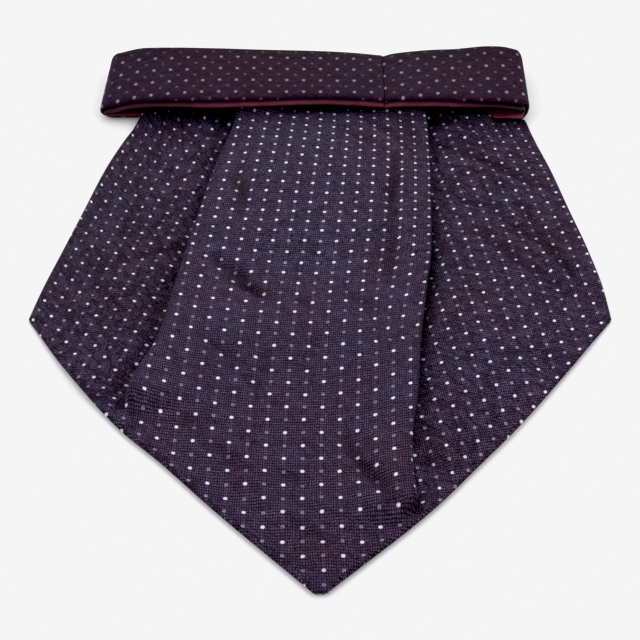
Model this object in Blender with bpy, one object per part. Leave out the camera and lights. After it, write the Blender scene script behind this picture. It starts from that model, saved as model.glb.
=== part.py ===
"""A silk cravat laid flat: a pointed, pleated apron under a neckband that is flattened into a loop.

X runs across the cravat, Y from the apron's point towards the neckband, Z up, and the origin lies under
the middle. Sizes are in millimetres until a mesh is made. Tables give the distance from the point, which
is Y before the origin is moved.

The apron is one cut. On each side of its middle a pleat turns the cloth under itself, so three layers lie
on each other there, and the pleat opens out to nothing at the hem. The neckband is bias silk over lining.
Its lower layer lies on the table, its upper layer over the apron, and both layers turn round at the ends.
"""

import math

import bpy

MM = 0.001

# The whole cravat
LENGTH = 224.0
WIDTH = 158.0
CLOTH = 1.0  # silk with its interlining
SEAM_GAP = 0.3

# The apron's outline: distance from the point, left edge, right edge
POINT_HALF_WIDTH = 1.5
HEM = [
    (0.0, -POINT_HALF_WIDTH, POINT_HALF_WIDTH),
    (26.3, -25.9, 27.4),
    (42.0, -39.6, 40.2),
    (53.8, -50.7, 49.6),
    (76.3, -67.0, 65.5),
    (96.5, -WIDTH / 2, WIDTH / 2),
]
SIDES = [
    (96.5, -WIDTH / 2, WIDTH / 2),
    (109.0, -76.9, 78.5),
    (127.0, -73.1, 76.3),
    (146.0, -69.1, 73.0),
    (166.0, -64.9, 69.6),
    (181.0, -60.6, 66.4),
    (187.5, -58.2, 65.2),
    (192.0, -56.0, 64.5),
    (200.0, -52.5, 62.0),
    (220.0, -50.0, 60.0),
]

# The two folded edges of the apron's middle: distance from the point, left fold, right fold
FOLDS = [
    (20.0, -18.0, 22.5),
    (28.5, -26.0, 23.1),
    (41.0, -36.0, 22.8),
    (66.0, -49.0, 25.4),
    (86.0, -43.2, 27.0),
    (103.0, -40.7, 29.0),
    (124.0, -37.8, 31.5),
    (143.0, -34.8, 32.4),
    (165.0, -31.2, 33.2),
    (190.0, -26.4, 33.3),
    (220.0, -25.0, 33.0),
]
FOLD_AT_POINT = 0.4  # the share of the half width that a fold keeps to at the point
FOLD_SETTLES = 28.0  # distance from the point where it is free of that

# Each pleat: distance from the point where it starts and is fully turned, its depth at the neckband, and
# the share of the half width that its fold keeps to where it comes near the hem
LEFT_PLEAT = {"starts": 58.0, "turned": 71.0, "depth": 9.0, "in_hem": 0.88}
RIGHT_PLEAT = {"starts": 20.5, "turned": 33.0, "depth": 12.0, "in_hem": 0.82}
PLEAT_FULL_AT = 190.0
PLEAT_RADIUS = (CLOTH + SEAM_GAP) / 2  # of the wall's middle, so the layers lie a seam gap apart
LEAST_RUN = 0.4  # the return layer's length where the pleat has no depth

# The apron's middle: distance from the point, height of its top and of its underside
MIDDLE = [
    (0.0, 1.0, 0.0),
    (10.0, 1.5, 0.0),
    (30.0, 1.9, 0.0),
    (50.0, 2.4, 0.2),
    (70.0, 3.8, 1.4),
    (92.0, 5.4, 2.8),
    (114.0, 4.3, 2.2),
    (140.0, 5.4, 2.9),
    (168.0, 6.6, 3.9),
    (182.0, 5.6, 3.2),
    (190.0, 5.0, 3.0),
    (194.0, 4.6, 2.8),
    (200.0, 5.6, 3.0),
    (220.0, 5.6, 3.0),
]
FOLD_REACH = 16.0  # how far from a fold the middle takes to settle to its own height
LARGEST_REACH = 0.4  # as a share of the middle's width
OVER_PLEAT_FALL = 8.0  # the middle lies on each pleat, and comes down over this distance past it

# How much the side panels puff up: distance from the point, left panel, right panel
PUFF = [
    (20.0, 0.0, 0.3),
    (60.0, 0.3, 0.7),
    (96.5, 0.8, 0.8),
    (140.0, 0.9, 0.7),
    (170.0, 0.7, 1.3),
    (186.0, 0.4, 0.8),
    (192.0, 0.1, 0.1),
    (220.0, 0.6, 0.4),
]

# Distances from the point of the apron's sections, up to its top edge inside the loop
APRON_ROWS = [0, 0.8, 3, 8, 14, 20.5, 24, 28.5, 33, 40, 48, 58, 62, 66, 71, 78, 87, 96.5, 104, 113, 122]
APRON_ROWS += [132, 142, 152, 161, 169, 176, 181, 185.5, 189, 191.7, 195, 200, 208, 218]
TOP_EDGE_SLOPE_FROM = 208.0
TOP_EDGE = [(-60.0, 218.6), (-26.0, 218.2), (20.0, 215.6), (48.0, 217.0), (66.0, 217.0)]

# On the right the cloth that lies over the neckband's lower layer ends at this line, and its corner stays below
TONGUE_EDGE = 51.5
CORNER_FALL = 4.5
CORNER_ROW = APRON_ROWS.index(191.7)

# Cells across the apron
SIDE_CELLS = 6
UNDER_CELLS = 2
TURN_CELLS = 5
RETURN_CELLS = 2
TURN_STEP = math.pi * PLEAT_RADIUS / TURN_CELLS
NEAR_FOLD_CELLS = 3
MIDDLE_CELLS = 6

# The neckband's upper layer: place across, near edge, far edge, height of its top near and far
JOIN = 20.0
UPPER_LEFT = [
    (-64.5, 194.3, 221.3, 5.9, 8.3),
    (-61.0, 194.3, 221.8, 7.0, 9.0),
    (-57.0, 194.0, 222.2, 7.9, 9.6),
    (-45.0, 192.4, 221.8, 9.2, 10.0),
    (-34.0, 191.2, 220.9, 9.8, 10.3),
    (-20.0, 191.9, 220.6, 9.8, 10.0),
    (0.0, 193.0, 220.3, 9.8, 9.6),
    (10.0, 192.6, 219.8, 9.7, 9.3),
    (JOIN, 191.5, 218.7, 9.6, 8.9),
]
UPPER_RIGHT = [
    (JOIN + SEAM_GAP, 191.8, 218.9, 9.2, 8.5),
    (24.0, 191.8, 220.0, 9.8, 8.9),
    (35.0, 191.9, 221.9, 9.8, 9.0),
    (43.0, 192.2, 222.8, 9.3, 8.8),
    (55.0, 192.9, LENGTH, 8.5, 9.2),
    (59.0, 193.2, 223.9, 7.9, 9.1),
    (63.0, 193.4, 223.4, 7.2, 8.4),
]
# How far each end of the loop reaches out, at the near and at the far edge
LEFT_END_REACH = (4.5, 3.1)
RIGHT_END_REACH = (2.7, 2.7)
# How far the near edge draws in where the cloth turns over at each end
LEFT_TUCK = 0.0
RIGHT_TUCK = 2.0
# The lower layer: place across, near edge, far edge
LOWER = [
    (-64.5, 194.9, 221.3),
    (-55.0, 195.1, 221.6),
    (-45.0, 196.0, 221.2),
    (35.0, 196.0, 218.3),
    (48.0, 193.6, 217.8),
    (63.0, 193.4, 218.8),
]
END_CELLS = 8
LOWER_STEP = 14.0

# Across the band's width: distance in from the near or far edge, and how far the top curls down there
NEAR_CURL = [(0.0, 0.6), (0.8, 0.25), (2.2, 0.05), (5.5, 0.0)]
FAR_CURL = [(5.0, 0.0), (1.6, 0.1), (0.0, 0.5)]

# The lining across its width: distance in from the silk's near edge, and its outer and inner face as depths
# below the silk's face. Its near edge rolls into a bead under the upper layer.
LINING_OUT = CLOTH + SEAM_GAP
LINING_IN = LINING_OUT + CLOTH
LINING_NEAR = [
    (-1.2, 1.75, 2.25),
    (-0.8, 1.3, 2.5),
    (0.0, LINING_OUT, 2.6),
    (1.2, LINING_OUT, 2.5),
    (3.0, LINING_OUT, LINING_IN),
]
LINING_FLAT_NEAR = [(-1.2, 1.55, 2.05), (-0.8, LINING_OUT, LINING_IN)]
LINING_FAR_INSET = [3.0, 1.2]

# Where the apron climbs onto the neckband's lower layer
CLIMB = LINING_IN + SEAM_GAP
CLIMB_LENGTH = 6.5
CLIMB_CLEAR = 0.5

SILK_COLOUR = (0.035, 0.025, 0.055, 1.0)
LINING_COLOUR = (0.17, 0.025, 0.05, 1.0)


def smooth_step(at):
    at = min(1.0, max(0.0, at))
    return at * at * (3 - 2 * at)


def read(table, at, column):
    """A table's column at a place between its rows, on a smooth curve that never overshoots a row."""
    rows = [(row[0], row[column]) for row in table]
    if at <= rows[0][0]:
        return rows[0][1]
    if at >= rows[-1][0]:
        return rows[-1][1]
    slopes = [(b[1] - a[1]) / (b[0] - a[0]) for a, b in zip(rows, rows[1:])]
    tangents = [slopes[0]]
    for before, after in zip(slopes, slopes[1:]):
        tangents.append(0.0 if before * after <= 0 else 2 * before * after / (before + after))
    tangents.append(slopes[-1])
    k = max(i for i, row in enumerate(rows[:-1]) if row[0] <= at)
    span = rows[k + 1][0] - rows[k][0]
    t = (at - rows[k][0]) / span
    rise = smooth_step(t)
    return (
        rows[k][1] * (1 - rise)
        + rows[k + 1][1] * rise
        + span * tangents[k] * t * (1 - t) ** 2
        - span * tangents[k + 1] * t * t * (1 - t)
    )


def material(name, colour, roughness):
    made = bpy.data.materials.new(name)
    made.use_nodes = True
    shader = made.node_tree.nodes["Principled BSDF"]
    shader.inputs["Base Color"].default_value = colour
    shader.inputs["Roughness"].default_value = roughness
    return made


def wall(name, face, back, surface, keep=None):
    """A closed wall between two grids of points, face and back, with the cells that keep() accepts."""
    rows = len(face)
    columns = len(face[0])
    points = [p for row in face for p in row] + [p for row in back for p in row]
    behind = rows * columns
    faces = []
    edges = {}
    for r in range(rows - 1):
        for c in range(columns - 1):
            if keep and not keep(r, c):
                continue
            ring = [r * columns + c, r * columns + c + 1, (r + 1) * columns + c + 1, (r + 1) * columns + c]
            faces.append(ring)
            faces.append([i + behind for i in reversed(ring)])
            for a, b in zip(ring, ring[1:] + ring[:1]):
                if (b, a) in edges:
                    del edges[(b, a)]
                else:
                    edges[(a, b)] = True
    for a, b in edges:
        faces.append([b, a, a + behind, b + behind])
    used = sorted({i for ring in faces for i in ring})
    place = {i: k for k, i in enumerate(used)}
    mesh = bpy.data.meshes.new(name)
    at_origin = [(points[i][0] * MM, (points[i][1] - LENGTH / 2) * MM, points[i][2] * MM) for i in used]
    mesh.from_pydata(at_origin, [], [[place[i] for i in ring] for ring in faces])
    mesh.update()
    mesh.materials.append(surface)
    made = bpy.data.objects.new(name, mesh)
    cravat.objects.link(made)
    return made


def edge_of_apron(at, column):
    return read(HEM if at <= HEM[-1][0] else SIDES, at, column)


def lining_edge(x):
    """The near edge of the lower layer's lining."""
    return read(LOWER, x, 1) + LINING_NEAR[0][0]


def ground(x, at):
    """How high the apron is carried: on the table, or up on the neckband's lower layer."""
    top = lining_edge(x) - CLIMB_CLEAR
    climbed = smooth_step((at - top + CLIMB_LENGTH) / CLIMB_LENGTH)
    return CLIMB * climbed * (1 - smooth_step((x - TONGUE_EDGE) / CORNER_FALL))


def build_section(at, side, pleat, column):
    """A half section's face and back points, as (outward, height) pairs, with the fold in the middle first.

    Where the pleat is turned, the wall goes round under the middle, runs back, and turns out again to the
    side panel. Nearer the point there is no pleat, and the same cells lie flat between the fold and the hem.
    The third result is the place that the pleat reaches in to.
    """
    edge = side * edge_of_apron(at, column)
    in_hem = FOLD_AT_POINT + (pleat["in_hem"] - FOLD_AT_POINT) * smooth_step(at / FOLD_SETTLES)
    fold = min(side * read(FOLDS, at, column), in_hem * edge)
    turned = math.pi * smooth_step((at - pleat["starts"]) / (pleat["turned"] - pleat["starts"]))
    grown = (at - pleat["turned"]) / (PLEAT_FULL_AT - pleat["turned"])
    run = max(pleat["depth"] * min(1.0, grown), LEAST_RUN)
    steps = [(TURN_STEP, turned / TURN_CELLS)] * TURN_CELLS
    steps += [(run / RETURN_CELLS, 0.0)] * RETURN_CELLS
    steps += [(TURN_STEP, -turned / TURN_CELLS)] * TURN_CELLS
    if not turned:
        cell = (edge - fold) / (len(steps) + UNDER_CELLS + SIDE_CELLS)
        steps = [(cell, 0.0)] * len(steps)
    out = fold - (PLEAT_RADIUS + CLOTH / 2 if turned else 0.0)
    height = 0.0
    lean = 0.0  # how far the cloth has turned over
    path = [(out, height, lean)]
    for length, turn in steps:
        out += length * math.cos(lean + turn / 2)
        height -= length * math.sin(lean + turn / 2)
        lean += turn
        path.append((out, height, lean))
    lift = ground(side * out, at) + CLOTH / 2 - height
    face = []
    back = []
    for out, height, lean in path:
        across = math.sin(lean) * CLOTH / 2
        up = math.cos(lean) * CLOTH / 2
        face.append((out + across, height + lift + up))
        back.append((out - across, height + lift - up))
    shown = out + (edge - out) * UNDER_CELLS / (UNDER_CELLS + SIDE_CELLS)
    if turned:
        shown = max(fold + SEAM_GAP, shown)
    places = [out + (shown - out) * k / UNDER_CELLS for k in range(1, UNDER_CELLS + 1)]
    places += [shown + (edge - shown) * k / SIDE_CELLS for k in range(1, SIDE_CELLS + 1)]
    for out in places:
        carried = ground(side * out, at)
        share = max(0.0, (out - shown) / (edge - shown))
        puff = read(PUFF, at, column) * (1 - math.cos(2 * math.pi * share)) / 2
        face.append((out, carried + CLOTH + puff))
        back.append((out, carried))
    innermost = min(out for out, _ in face + back)
    return face, back, innermost


def build_apron():
    """The apron, lofted through sections from its point to its top edge inside the neckband."""
    face_rows = []
    back_rows = []
    near_fold = [k / NEAR_FOLD_CELLS for k in range(1, NEAR_FOLD_CELLS + 1)]
    for at in APRON_ROWS:
        left_face, left_back, left_in = build_section(at, -1, LEFT_PLEAT, 1)
        right_face, right_back, right_in = build_section(at, 1, RIGHT_PLEAT, 2)
        left = -left_face[0][0]
        right = right_face[0][0]
        reach = min(FOLD_REACH, (right - left) * LARGEST_REACH)
        places = [left + reach * k for k in near_fold]
        flat = right - left - 2 * reach
        places += [left + reach + flat * k / MIDDLE_CELLS for k in range(1, MIDDLE_CELLS)]
        places += [right - reach * k for k in reversed(near_fold)]
        face = [(-out, height) for out, height in reversed(left_face)]
        back = [(-out, height) for out, height in reversed(left_back)]
        top = read(MIDDLE, at, 1)
        under = read(MIDDLE, at, 2)
        for x in places:
            from_left = smooth_step(1 - (x - left) / reach)
            from_right = smooth_step(1 - (right - x) / reach)
            own = 1 - from_left - from_right
            upper = top * own + left_face[0][1] * from_left + right_face[0][1] * from_right
            lower = under * own + left_back[0][1] * from_left + right_back[0][1] * from_right
            on_left = left_back[0][1] * smooth_step(1 - (x + left_in) / OVER_PLEAT_FALL)
            on_right = right_back[0][1] * smooth_step(1 - (right_in - x) / OVER_PLEAT_FALL)
            lower = max(lower, on_left, on_right)
            face.append((x, max(upper, lower + CLOTH)))
            back.append((x, lower))
        face += right_face
        back += right_back
        beyond = max(0.0, at - TOP_EDGE_SLOPE_FROM) / (APRON_ROWS[-1] - TOP_EDGE_SLOPE_FROM)
        for section, rows in ((face, face_rows), (back, back_rows)):
            row = []
            for x, z in section:
                place = at + beyond * (read(TOP_EDGE, x, 1) - APRON_ROWS[-1])
                row.append((x, place, z))
            rows.append(row)

    def keep(row, column):
        """Leaves out the corner past the row where the right panel parts from the tongue."""
        return row < CORNER_ROW or face_rows[CORNER_ROW][column + 1][0] < TONGUE_EDGE

    return wall("apron", face_rows, back_rows, silk, keep)


def top_of_band(table, x, inside, width):
    """The height of the upper layer's face, so far in from its near edge."""
    share = min(1.0, max(0.0, inside / width))
    top = read(table, x, 3) + (read(table, x, 4) - read(table, x, 3)) * share
    curl = read(NEAR_CURL, inside, 1)
    from_far = width - inside
    if from_far < FAR_CURL[0][0]:
        curl += read(list(reversed(FAR_CURL)), from_far, 1)
    return top - curl


def band_stations(table, end):
    """The way round one end of the loop: along the upper layer, round the end, back along the lower one.

    Each station is (place across, how far over the cloth has turned).
    """
    side = 1 if end > 0 else -1
    seam = JOIN + SEAM_GAP if side > 0 else JOIN
    rows = [row[0] for row in (table if side > 0 else reversed(table))]
    stations = [(rows[0], 0.0)]
    for before, after in zip(rows, rows[1:]):
        stations += [((before + after) / 2, 0.0), (after, 0.0)]
    for k in range(1, END_CELLS):
        stations.append((end, math.pi * k / END_CELLS))
    count = round(abs(end - seam) / LOWER_STEP)
    for k in range(count + 1):
        stations.append((end + (seam - end) * k / count, math.pi))
    return stations


def band_point(table, station, turn, inside_near, inside_far, depth):
    """A point of the loop at a depth below its outer face, placed from its near or its far edge."""
    x, turned = station
    reach, tuck = turn
    upper = (1 + math.cos(turned)) / 2
    near_up, far_up = read(table, x, 1), read(table, x, 2)
    near_low, far_low = read(LOWER, x, 1), read(LOWER, x, 2)
    near = upper * near_up + (1 - upper) * near_low + tuck * math.sin(turned)
    far = upper * far_up + (1 - upper) * far_low
    width = far - near
    inside = width - inside_far if inside_near is None else inside_near
    top = top_of_band(table, x, inside, width)
    half = top / 2
    z = half + (half - depth) * math.cos(turned)
    out = reach[0] + (reach[1] - reach[0]) * inside / width - depth
    return (x + math.copysign(out, x) * math.sin(turned), near + inside, z)


def build_band_piece(name, table, end, turn, ribs, surface):
    """One length of the neckband, a wall through ribs across its width.

    Its turn at the end is (how far it reaches out near and far, how far its near edge tucks in there).
    Each rib is (distance in from the near edge or None, distance in from the far edge, depth of the outer
    face and of the inner face on the upper layer, and the same on the lower layer).
    """
    face_rows = []
    back_rows = []
    for station in band_stations(table, end):
        upper = (1 + math.cos(station[1])) / 2
        face = []
        back = []
        for near, far, out_up, in_up, out_low, in_low in ribs:
            outer = upper * out_up + (1 - upper) * out_low
            inner = upper * in_up + (1 - upper) * in_low
            face.append(band_point(table, station, turn, near, far, outer))
            back.append(band_point(table, station, turn, near, far, inner))
        face_rows.append(face)
        back_rows.append(back)
    if end > 0:
        face_rows = [list(reversed(row)) for row in face_rows]
        back_rows = [list(reversed(row)) for row in back_rows]
    return wall(name, face_rows, back_rows, surface)


def silk_ribs():
    ribs = [(inside, None, 0.0, CLOTH, 0.0, CLOTH) for inside, _ in NEAR_CURL]
    return ribs + [(None, inside, 0.0, CLOTH, 0.0, CLOTH) for inside, _ in FAR_CURL]


def lining_ribs():
    ribs = []
    for inside, outer, inner in LINING_NEAR:
        flat = read(LINING_FLAT_NEAR, inside, 1), read(LINING_FLAT_NEAR, inside, 2)
        ribs.append((inside, None, outer, inner, flat[0], flat[1]))
    for inside in LINING_FAR_INSET:
        ribs.append((None, inside, LINING_OUT, LINING_IN, LINING_OUT, LINING_IN))
    return ribs


for old in list(bpy.data.objects):
    bpy.data.objects.remove(old)
cravat = bpy.data.collections.new("silk_cravat")
bpy.context.scene.collection.children.link(cravat)
silk = material("dotted_silk", SILK_COLOUR, 0.6)
band_silk = material("band_silk", SILK_COLOUR, 0.6)
lining = material("lining_satin", LINING_COLOUR, 0.45)

build_apron()
for side, table, end, turn in (
    ("left", UPPER_LEFT, UPPER_LEFT[0][0], (LEFT_END_REACH, LEFT_TUCK)),
    ("right", UPPER_RIGHT, UPPER_RIGHT[-1][0], (RIGHT_END_REACH, RIGHT_TUCK)),
):
    build_band_piece(f"neckband_{side}", table, end, turn, silk_ribs(), band_silk)
    build_band_piece(f"neckband_lining_{side}", table, end, turn, lining_ribs(), lining)
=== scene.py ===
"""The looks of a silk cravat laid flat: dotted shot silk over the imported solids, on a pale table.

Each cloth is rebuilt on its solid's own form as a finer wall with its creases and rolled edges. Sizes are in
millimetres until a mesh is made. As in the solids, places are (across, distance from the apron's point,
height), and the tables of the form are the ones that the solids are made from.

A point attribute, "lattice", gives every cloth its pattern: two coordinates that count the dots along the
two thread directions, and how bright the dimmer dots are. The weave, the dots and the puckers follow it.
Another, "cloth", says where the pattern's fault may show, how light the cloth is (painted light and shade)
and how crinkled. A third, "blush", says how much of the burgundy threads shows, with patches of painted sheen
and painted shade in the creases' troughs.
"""

import math

import bpy
import numpy as np
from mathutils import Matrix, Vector, noise


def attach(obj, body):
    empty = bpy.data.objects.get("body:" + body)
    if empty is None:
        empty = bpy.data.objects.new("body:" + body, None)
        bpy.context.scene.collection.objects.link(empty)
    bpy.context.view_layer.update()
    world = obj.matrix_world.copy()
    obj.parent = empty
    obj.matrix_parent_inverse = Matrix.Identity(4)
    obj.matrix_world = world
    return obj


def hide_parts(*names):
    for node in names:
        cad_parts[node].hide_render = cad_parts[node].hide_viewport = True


MM = 0.001

# The form, as in the solids
LENGTH = 224.0
WIDTH = 158.0
CLOTH = 1.0
SEAM_GAP = 0.3
VISIBLE_GAP = 0.05  # at the neckband's seam, where stitches draw the two lengths together
POINT_HALF_WIDTH = 1.5
HEM = [
    (0, -POINT_HALF_WIDTH, POINT_HALF_WIDTH), (26.3, -25.9, 27.4), (42, -39.6, 40.2), (53.8, -50.7, 49.6),
    (76.3, -67, 65.5), (96.5, -WIDTH / 2, WIDTH / 2),
]
SIDES = [
    (96.5, -WIDTH / 2, WIDTH / 2), (109, -76.9, 78.5), (127, -73.1, 76.3), (146, -69.1, 73),
    (166, -64.9, 69.6), (181, -60.6, 66.4), (187.5, -58.2, 65.2), (192, -56, 64.5), (200, -52.5, 62),
    (220, -50, 60),
]
FOLDS = [
    (20, -18, 22.5), (28.5, -26, 23.1), (41, -36, 22.8), (66, -49, 25.4), (86, -43.2, 27),
    (103, -40.7, 29), (124, -37.8, 31.5), (143, -34.8, 32.4), (165, -31.2, 33.2), (190, -26.4, 33.3),
    (220, -25, 33),
]
FOLD_AT_POINT = 0.4
FOLD_SETTLES = 28.0
LEFT_PLEAT = {"starts": 58.0, "turned": 71.0, "depth": 9.0, "in_hem": 0.88}
RIGHT_PLEAT = {"starts": 20.5, "turned": 33.0, "depth": 12.0, "in_hem": 0.82}
PLEAT_FULL_AT = 190.0
PLEAT_RADIUS = 0.55  # of each quarter of a pleat's turn
PLEAT_DROP = 0.7  # straight down between the two quarters
LEAST_RUN = 0.4
HIDDEN_FROM = 0.12  # the share of a pleat's turned cloth, from each of its ends, that goes on like its panel
# Where a point of the apron is. The two side panels' numbers are also the signs of their places across.
LEFT_PANEL = -1
RIGHT_PANEL = 1
MIDDLE_PANEL = 2
TURNED_UNDER = 0
FOLD_EDGE = 3  # where the cloth starts to turn under
FOLD_EDGE_LEANS = 0.9  # it ends at this lean, in radians
MIDDLE = [
    (0, 1, 0), (10, 1.5, 0), (30, 1.9, 0), (50, 2.4, 0.2), (70, 3.8, 1.4), (92, 5.4, 2.8),
    (114, 4.3, 2.2), (140, 5.4, 2.9), (168, 6.6, 3.9), (182, 5.6, 3.2), (190, 5, 3), (194, 4.6, 2.8),
    (200, 5.6, 3), (220, 5.6, 3),
]
# How the side panels rise beside the middle one's folds: distance from the fold, height
BANK = [(0.0, -0.3), (1.0, -0.4), (2.4, 0.2), (5.0, 1.3), (9.0, 1.7), (15.0, 1.2), (28.0, 0.0)]
BANK_ALONG = [(40.0, 0.0), (70.0, 0.8), (110.0, 1.0), (165.0, 1.0), (186.0, 0.5), (196.0, 0.0)]
FOLD_REACH = 16.0
LARGEST_REACH = 0.4
OVER_PLEAT_FALL = 8.0
PUFF = [
    (20, 0, 0.3), (60, 0.3, 0.7), (96.5, 0.8, 0.8), (140, 0.9, 0.7), (170, 0.7, 1.3), (186, 0.4, 0.8),
    (192, 0.1, 0.1), (220, 0.6, 0.4),
]
APRON_TOP = 218.0
TOP_EDGE_SLOPE_FROM = 208.0
TOP_EDGE = [(-60.0, 218.6), (-26.0, 218.2), (20.0, 215.6), (48.0, 217.0), (66.0, 217.0)]
TONGUE_EDGE = 51.5
CORNER_FALL = 4.5
CORNER_AT = 192.8
JOIN = 20.0
UPPER_LEFT = [
    (-64.5, 194.3, 221.3, 5.9, 8.3), (-61, 194.3, 221.8, 7, 9), (-57, 194, 222.2, 7.9, 9.6),
    (-45, 192.4, 221.8, 9.2, 10), (-34, 191.2, 220.9, 9.8, 10.3), (-20, 191.9, 220.6, 9.8, 10),
    (0, 193, 220.3, 9.8, 9.6), (10, 192.6, 219.8, 9.7, 9.3), (JOIN, 191.5, 218.7, 9.6, 8.9),
]
UPPER_RIGHT = [
    (JOIN + SEAM_GAP, 191.8, 218.9, 9.2, 8.5), (24, 191.8, 220, 9.8, 8.9), (35, 191.9, 221.9, 9.8, 9),
    (43, 192.2, 222.8, 9.3, 8.8), (55, 192.9, LENGTH, 8.5, 9.2), (59, 193.2, 223.9, 7.9, 9.1),
    (63, 193.4, 223.4, 7.2, 8.4),
]
# How the loop turns at its ends: how far it reaches out, near and far, and how far in it is tucked
LEFT_TURN = ((4.5, 3.1), 0.0)
RIGHT_TURN = ((2.7, 2.7), 2.0)
LOWER = [
    (-64.5, 194.9, 221.3), (-55, 195.1, 221.6), (-45, 196, 221.2), (35, 196, 218.3), (48, 193.6, 217.8),
    (63, 193.4, 218.8),
]
NEAR_CURL = [(0.0, 0.6), (0.8, 0.25), (2.2, 0.05), (5.5, 0.0)]
FAR_CURL = [(0.0, 0.5), (1.6, 0.1), (5.0, 0.0)]
LINING_OUT = CLOTH + SEAM_GAP
LINING_IN = LINING_OUT + CLOTH
LINING_PROUD = 1.2
CLIMB = LINING_IN + SEAM_GAP
CLIMB_LENGTH = 6.5
CLIMB_CLEAR = 0.5

# The finer wall: cells across, and along
SIDE_CELLS = 34
UNDER_CELLS = 4
QUARTER_CELLS = 4
DROP_CELLS = 2
RETURN_CELLS = 4
MIDDLE_CELLS = 58
FIRST_ROWS = [0.0, 0.3, 0.7, 1.3]
APRON_STEP = 1.15
BAND_STEP = 1.5
LOWER_STEP = 4.0
END_CELLS = 16
BAND_CELLS = 30
NEAR_SEAM = [0, 0.12, 0.35]
SEAM_ROUND = 0.5
SEAM_SQUEEZE = 0.12
ROUND_EDGE = [0.0, 0.004, 0.012, 0.026, 0.045]  # as shares of the width
BAND_ROUND = 0.42
# The lining's round edge: its half thickness and its tip's, then how deep it is further in
BEAD = (LINING_IN - LINING_OUT) / 2 + 0.15
BEAD_TIP = 0.06
BEAD_CELLS = 8
BEAD_THINS = [(0.6, 2.6), (1.2, 2.5), (2.0, 2.38), (3.0, LINING_IN)]
LINING_SHARES = (0.11, 0.95)
LINING_CELLS = 6

# How the dots lie. On each panel: distance from the point, then the place across of one column of dots, the
# row number there, the columns' spacing, the rows' rise over 10 mm to the right, and how they bow over that.
MIDDLE_COLUMN = 0
MIDDLE_DOTS = [
    (0, 1, 1.45, 4.75, 0, 0), (40, 0.3, -7.5, 4.5, 0.05, 0.06), (100, 2.6, -21.25, 4.42, 0.17, 0.095),
    (140, 5.9, -30.25, 4.37, 0.07, 0.07), (180, 8.4, -39.75, 4.15, -0.35, 0.02),
    (195, 8.8, -43.6, 4, -0.5, 0.02),
]
# Where the middle panel's columns don't follow that. Left of the column they are a little wider apart.
# Beside the right fold they lean with it: distance from the point, how many columns over.
LEFT_WIDENS = 1.024
LEAN = [
    (82.3, 0), (85.2, 0.65), (89.2, 0.6), (97.3, 0.44), (105, 0.25), (113, 0.12), (121, 0),
]
LEANS_FROM = 8.0
LEANS_OVER = 18.0
FOLD_DRAWS_FROM = 23.3
FOLD_DRAWS = 0.0165  # columns for each millimetre beyond that
FOLD_DRAWS_ABOVE = 110.0
FOLD_DRAWS_OVER = 25.0
LEFT_COLUMN = -13
LEFT_DOTS = [
    (50, -59.7, -9.1, 4.27, -0.15, 0.05), (75, -53.1, -15.2, 4.29, -0.30, 0.12),
    (100, -46.6, -21.8, 4.28, -0.35, 0.20), (125, -40.1, -28.8, 4.24, -0.30, 0.27),
    (150, -33.8, -35.5, 4.17, -0.15, 0.35), (195, -22.9, -45.2, 4, 0.3, 0.45),
]
RIGHT_COLUMN = 13
RIGHT_DOTS = [
    (20, 58, -2.4, 3.95, 0.14, -0.05), (50, 55.6, -8.5, 4.1, 0.45, -0.03), (75, 53, -14.1, 4.18, 0.63, 0),
    (100, 49.9, -20.2, 4.23, 0.74, 0.01), (125, 46.2, -26.6, 4.21, 0.76, 0.04),
    (150, 42, -33.4, 4.12, 0.70, 0.07), (195, 33.3, -46, 3.8, 0.33, 0.12),
]
# The neckband is cut on the bias, so its white dots stand in straight rows along it. Each of its lengths has
# where they are counted from, the column and the row there, their spacing along and across, and how the rows
# turn and bow.
BAND_ROWS_FROM = 206.0
LEFT_BAND_DOTS = (0.0, 5.97, 1.66, 5.28, 6.55, 0.0, 0.0)
RIGHT_BAND_DOTS = (40.0, -1.38, 1.51, 5.43, 7.3, -0.0228, 0.0003)

# Creases, as soft ridges (height above 0) and troughs: where each starts and ends, its width and its height
MIDDLE_CREASES = [
    (-29, 119, -16, 101.5, 1.9, -0.75), (-24, 122, -9, 108, 3.2, 0.35),
    (-24.5, 110.5, -12, 99, 1.4, -0.5), (-8.5, 103.5, -1.5, 96.5, 1.6, -0.4),
    (6.8, 105.4, 14.8, 95, 1.8, -0.5), (-23.8, 160.5, -23.4, 138.5, 1.8, -0.6),
    (22.6, 165, 20.6, 139, 1.7, -0.7), (20.7, 138.5, 18.4, 108, 1.7, -0.6),
    (16.4, 134, 15.2, 107, 1.3, -0.35), (26, 160, 23.5, 120, 2, 0.3), (6.2, 49.5, 17.4, 26.5, 1.7, -0.75),
    (11.5, 52, 21, 34, 2.4, 0.35), (4, 44, 12, 27, 2.4, 0.3), (6.2, 183, 19.6, 168.5, 1.6, -0.45),
    (13.9, 188, 27, 171, 1.6, -0.5), (10, 186.5, 23, 170.5, 1.3, 0.3), (26.5, 190, 29, 166, 1.4, -0.45),
    (-15.3, 82, -16, 62, 1.8, -0.3), (-2, 84, -4, 70, 1.5, -0.25), (-14, 131, 3, 129, 7, 0.5),
    (-30, 84, -22, 74, 1.8, -0.35), (-12, 40, -2, 31, 1.8, -0.35), (-6, 22, 2, 14, 1.6, -0.35),
    (-1, 32, 5, 22, 1.6, 0.3), (-26, 46, -17, 38, 1.8, -0.35), (-36, 58, -28, 50, 1.8, -0.35),
]
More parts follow.
